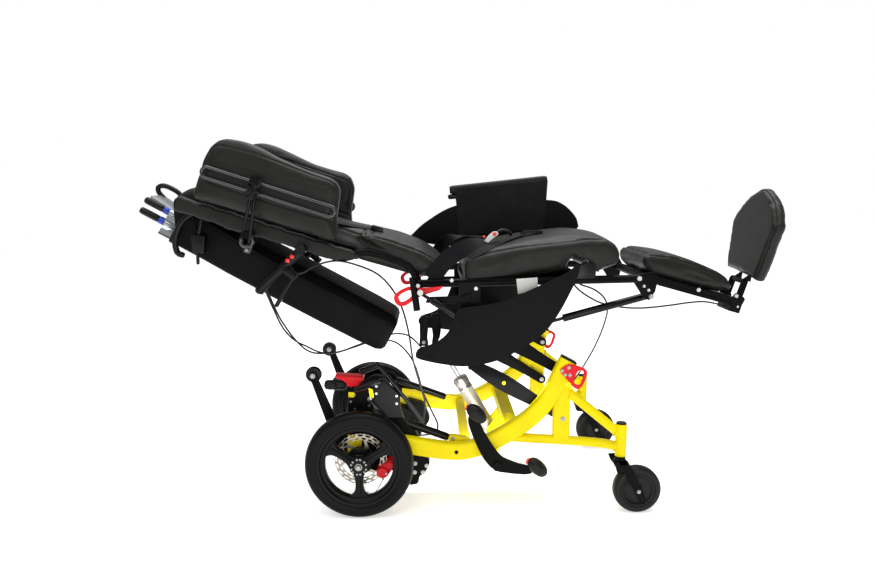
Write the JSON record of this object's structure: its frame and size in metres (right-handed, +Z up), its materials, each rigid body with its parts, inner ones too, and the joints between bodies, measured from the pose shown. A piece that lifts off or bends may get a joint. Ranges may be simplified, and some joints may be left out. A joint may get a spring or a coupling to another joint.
{
  "type": "reclining transport chair",
  "caption": "Wheeled transport chair with a reclining back, raised leg rest and hydraulic seat lift on curved side frames, with tie-down loops and a stowed folding ramp.",
  "frame": {"origin": "on the floor, under the middle of the chair's length and width", "axes": "+X towards the feet, +Y to the rider's left, +Z up"},
  "size_m": [1.9968, 0.6766, 1.084],
  "materials": {
    "yellow_paint": "smooth gloss paint",
    "red_paint": "smooth gloss paint",
    "black_paint": "satin powder coat",
    "black_plastic": "fine grained",
    "tyre_rubber": "smooth",
    "rubber": "matt",
    "leatherette": "grained, slight sheen",
    "bag_cloth": "coated woven cloth",
    "steel": "bright",
    "aluminium": "satin"
  },
  "bodies": {
    "base": {"right_side_frame": "yellow_paint", "left_side_frame": "yellow_paint", "right_brake_caliper": "red_paint", "left_brake_caliper": "red_paint", "right_front_tie_down": "red_paint", "left_front_tie_down": "red_paint", "cross_member": "yellow_paint", "rear_axle_carrier": "black_paint", "release_cable": "black_plastic"},
    "lower_links": {"right_lower_link": "black_paint", "left_lower_link": "black_paint"},
    "upper_links": {"right_upper_link": "black_paint", "left_upper_link": "black_paint"},
    "seat_carrier": {"seat_carrier": "black_paint"},
    "lift_cylinder": {"lift_cylinder": "aluminium"},
    "lift_rod": {"lift_rod": "steel"},
    "seat": {"seat_frame": "black_paint", "seat_cushion": "leatherette", "right_side_guard": "black_plastic", "left_side_guard": "black_plastic", "right_rear_tie_down": "red_paint", "left_rear_tie_down": "red_paint", "brake_cable": "black_plastic", "caster_lock_cable": "black_plastic", "leg_slide_cable": "black_plastic"},
    "recline_strut_tube": {"recline_strut_tube": "black_paint"},
    "recline_strut_rod": {"recline_strut_rod": "steel"},
    "back": {"back_frame": "black_paint", "back_cushion": "leatherette", "ramp_bag": "bag_cloth"},
    "folded_ramp": {"folded_ramp": "aluminium"},
    "left_armrest": {"left_armrest": "black_plastic"},
    "leg": {"leg_frame": "black_paint", "calf_pad": "leatherette"},
    "leg_strut_tube": {"leg_strut_tube": "black_paint"},
    "leg_strut_rod": {"leg_strut_rod": "steel"},
    "foot_slide": {"foot_slide": "black_paint"},
    "foot_board": {"foot_board": "leatherette"},
    "pump_lever": {"pump_lever": "black_paint"},
    "brake_pedal": {"brake_pedal": "red_paint"},
    "right_wheel": {"right_tyre": "tyre_rubber", "right_rim": "black_plastic", "right_brake_disc": "steel"},
    "right_caster_fork": {"right_caster_fork": "black_paint"},
    "right_caster_wheel": {"right_caster_wheel": "rubber"},
    "right_antitip_arm": {"right_antitip_arm": "black_paint"},
    "right_antitip_roller": {"right_antitip_roller": "rubber"},
    "right_lateral_pad": {"right_lateral_pad": "leatherette"},
    "right_push_handle": {"right_push_handle": "rubber"},
    "right_brake_lever": {"right_brake_lever": "black_paint"},
    "left_wheel": {"left_tyre": "tyre_rubber", "left_rim": "black_plastic", "left_brake_disc": "steel"},
    "left_caster_fork": {"left_caster_fork": "black_paint"},
    "left_caster_wheel": {"left_caster_wheel": "rubber"},
    "left_antitip_arm": {"left_antitip_arm": "black_paint"},
    "left_antitip_roller": {"left_antitip_roller": "rubber"},
    "left_lateral_pad": {"left_lateral_pad": "leatherette"},
    "left_push_handle": {"left_push_handle": "rubber"},
    "left_brake_lever": {"left_brake_lever": "black_paint"}
  },
  "joints": [
    {"name": "lift", "type": "hinge", "parent": "base", "child": "lower_links", "pos_m": [0.31844, 0, 0.27], "axis": [0, 1, 0], "range_deg": [-30, 0], "deforming": ["release_cable", "brake_cable", "caster_lock_cable", "leg_slide_cable"]},
    {"name": "upper_link_turn", "type": "hinge", "parent": "base", "child": "upper_links", "pos_m": [0.31844, 0, 0.406], "axis": [0, 1, 0], "range_deg": [-30, 0], "deforming": ["release_cable", "brake_cable", "caster_lock_cable", "leg_slide_cable"]},
    {"name": "seat_level", "type": "hinge", "parent": "lower_links", "child": "seat_carrier", "pos_m": [0.04301, 0, 0.43289], "axis": [0, 1, 0], "range_deg": [0, 30], "deforming": ["release_cable", "brake_cable", "caster_lock_cable", "leg_slide_cable"]},
    {"name": "cylinder_turn", "type": "hinge", "parent": "base", "child": "lift_cylinder", "pos_m": [0.11344, 0, 0.166], "axis": [0, 1, 0], "range_deg": [-32, 0]},
    {"name": "lift_stroke", "type": "slide", "parent": "lift_cylinder", "child": "lift_rod", "axis": [-0.5063, 0, 0.8624], "range_m": [-0.083, 0]},
    {"name": "seat_tilt", "type": "hinge", "parent": "seat_carrier", "child": "seat", "pos_m": [0.04301, 0, 0.61089], "axis": [0, -1, 0], "range_deg": [-8, 15], "deforming": ["release_cable", "brake_cable", "caster_lock_cable", "leg_slide_cable"]},
    {"name": "recline", "type": "hinge", "parent": "seat", "child": "back", "pos_m": [-0.11556, 0, 0.674], "axis": [0, 1, 0], "range_deg": [0, 55], "deforming": ["release_cable", "brake_cable"]},
    {"name": "recline_strut_turn", "type": "hinge", "parent": "seat", "child": "recline_strut_tube", "pos_m": [0.03344, -0.252, 0.56], "axis": [0, 1, 0], "range_deg": [-3.6, 0]},
    {"name": "recline_strut_stroke", "type": "slide", "parent": "recline_strut_tube", "child": "recline_strut_rod", "axis": [-0.8446, 0, 0.5353], "range_m": [0, 0.022]},
    {"name": "ramp_draw", "type": "slide", "parent": "back", "child": "folded_ramp", "axis": [-0.8813, 0, 0.4726], "range_m": [0, 0.6]},
    {"name": "armrest_lift", "type": "slide", "parent": "seat", "child": "left_armrest", "axis": [0, 0, 1], "range_m": [0, 0.1]},
    {"name": "leg_rest", "type": "hinge", "parent": "seat", "child": "leg", "pos_m": [0.52844, 0, 0.688], "axis": [0, 1, 0], "range_deg": [0, 70], "deforming": ["leg_slide_cable"]},
    {"name": "leg_strut_turn", "type": "hinge", "parent": "leg", "child": "leg_strut_tube", "pos_m": [0.56944, -0.178, 0.632], "axis": [0, 1, 0], "range_deg": [-73, 0]},
    {"name": "leg_strut_stroke", "type": "slide", "parent": "leg_strut_tube", "child": "leg_strut_rod", "axis": [0.9648, 0, 0.2629], "range_m": [0, 0.08]},
    {"name": "foot_length", "type": "slide", "parent": "leg", "child": "foot_slide", "axis": [0.9636, 0, -0.2672], "range_m": [0, 0.08], "deforming": ["leg_slide_cable"]},
    {"name": "foot_fold", "type": "hinge", "parent": "foot_slide", "child": "foot_board", "pos_m": [0.91386, 0, 0.65583], "axis": [0, 1, 0], "range_deg": [-15, 60]},
    {"name": "pump", "type": "hinge", "parent": "base", "child": "pump_lever", "pos_m": [0.11744, -0.274, 0.136], "axis": [0, 1, 0], "range_deg": [-15, 15]},
    {"name": "brake_pedal_press", "type": "hinge", "parent": "base", "child": "brake_pedal", "pos_m": [-0.25456, -0.1974, 0.392], "axis": [0, -1, 0], "range_deg": [0, 18], "stiffness_Nm_per_rad": 4},
    {"name": "right_wheel_spin", "type": "hinge", "parent": "base", "child": "right_wheel", "pos_m": [-0.28656, -0.3, 0.1575], "axis": [0, 1, 0], "continuous": true},
    {"name": "right_caster_swivel", "type": "hinge", "parent": "base", "child": "right_caster_fork", "pos_m": [0.47744, -0.276, 0.17], "axis": [0, 0, 1], "continuous": true},
    {"name": "right_caster_spin", "type": "hinge", "parent": "right_caster_fork", "child": "right_caster_wheel", "pos_m": [0.52844, -0.276, 0.07], "axis": [0, 1, 0], "continuous": true},
    {"name": "right_antitip_fold", "type": "hinge", "parent": "base", "child": "right_antitip_arm", "pos_m": [-0.35856, -0.1974, 0.198], "axis": [0, -1, 0], "range_deg": [0, 110]},
    {"name": "right_antitip_spin", "type": "hinge", "parent": "right_antitip_arm", "child": "right_antitip_roller", "pos_m": [-0.43256, -0.1751, 0.392], "axis": [0, 1, 0], "continuous": true},
    {"name": "right_lateral_slide", "type": "slide", "parent": "back", "child": "right_lateral_pad", "axis": [-0.9527, 0, 0.304], "range_m": [-0.04, 0.04]},
    {"name": "right_handle_angle", "type": "hinge", "parent": "back", "child": "right_push_handle", "pos_m": [-0.45177, -0.2258, 0.775], "axis": [0, 1, 0], "range_deg": [-15, 30], "deforming": ["release_cable", "brake_cable"]},
    {"name": "right_brake_squeeze", "type": "hinge", "parent": "right_push_handle", "child": "right_brake_lever", "pos_m": [-0.47356, -0.2258, 0.703], "axis": [0, 1, 0], "range_deg": [0, 10], "stiffness_Nm_per_rad": 1, "deforming": ["release_cable", "brake_cable"]},
    {"name": "left_wheel_spin", "type": "hinge", "parent": "base", "child": "left_wheel", "pos_m": [-0.28656, 0.3, 0.1575], "axis": [0, 1, 0], "continuous": true},
    {"name": "left_caster_swivel", "type": "hinge", "parent": "base", "child": "left_caster_fork", "pos_m": [0.47744, 0.276, 0.17], "axis": [0, 0, 1], "continuous": true},
    {"name": "left_caster_spin", "type": "hinge", "parent": "left_caster_fork", "child": "left_caster_wheel", "pos_m": [0.52844, 0.276, 0.07], "axis": [0, 1, 0], "continuous": true},
    {"name": "left_antitip_fold", "type": "hinge", "parent": "base", "child": "left_antitip_arm", "pos_m": [-0.35856, 0.1974, 0.198], "axis": [0, -1, 0], "range_deg": [0, 110]},
    {"name": "left_antitip_spin", "type": "hinge", "parent": "left_antitip_arm", "child": "left_antitip_roller", "pos_m": [-0.43256, 0.1751, 0.392], "axis": [0, 1, 0], "continuous": true},
    {"name": "left_lateral_slide", "type": "slide", "parent": "back", "child": "left_lateral_pad", "axis": [-0.9527, 0, 0.304], "range_m": [-0.04, 0.04]},
    {"name": "left_handle_angle", "type": "hinge", "parent": "back", "child": "left_push_handle", "pos_m": [-0.45177, 0.2258, 0.775], "axis": [0, 1, 0], "range_deg": [-15, 30]},
    {"name": "left_brake_squeeze", "type": "hinge", "parent": "left_push_handle", "child": "left_brake_lever", "pos_m": [-0.47356, 0.2258, 0.703], "axis": [0, 1, 0], "range_deg": [0, 10], "stiffness_Nm_per_rad": 1}
  ],
  "couplings": [
    {"joint": "upper_link_turn", "follows": "lift", "ratio": 1},
    {"joint": "seat_level", "follows": "lift", "ratio": -1},
    {"joint": "cylinder_turn", "follows": "lift", "ratio": 1.055},
    {"joint": "lift_stroke", "follows": "lift", "m_per_rad": 0.1558},
    {"joint": "recline_strut_turn", "follows": "recline", "ratio": -0.062},
    {"joint": "recline_strut_stroke", "follows": "recline", "m_per_rad": 0.0217},
    {"joint": "leg_strut_turn", "follows": "leg_rest", "ratio": -1.036},
    {"joint": "leg_strut_stroke", "follows": "leg_rest", "m_per_rad": 0.0645}
  ]
}
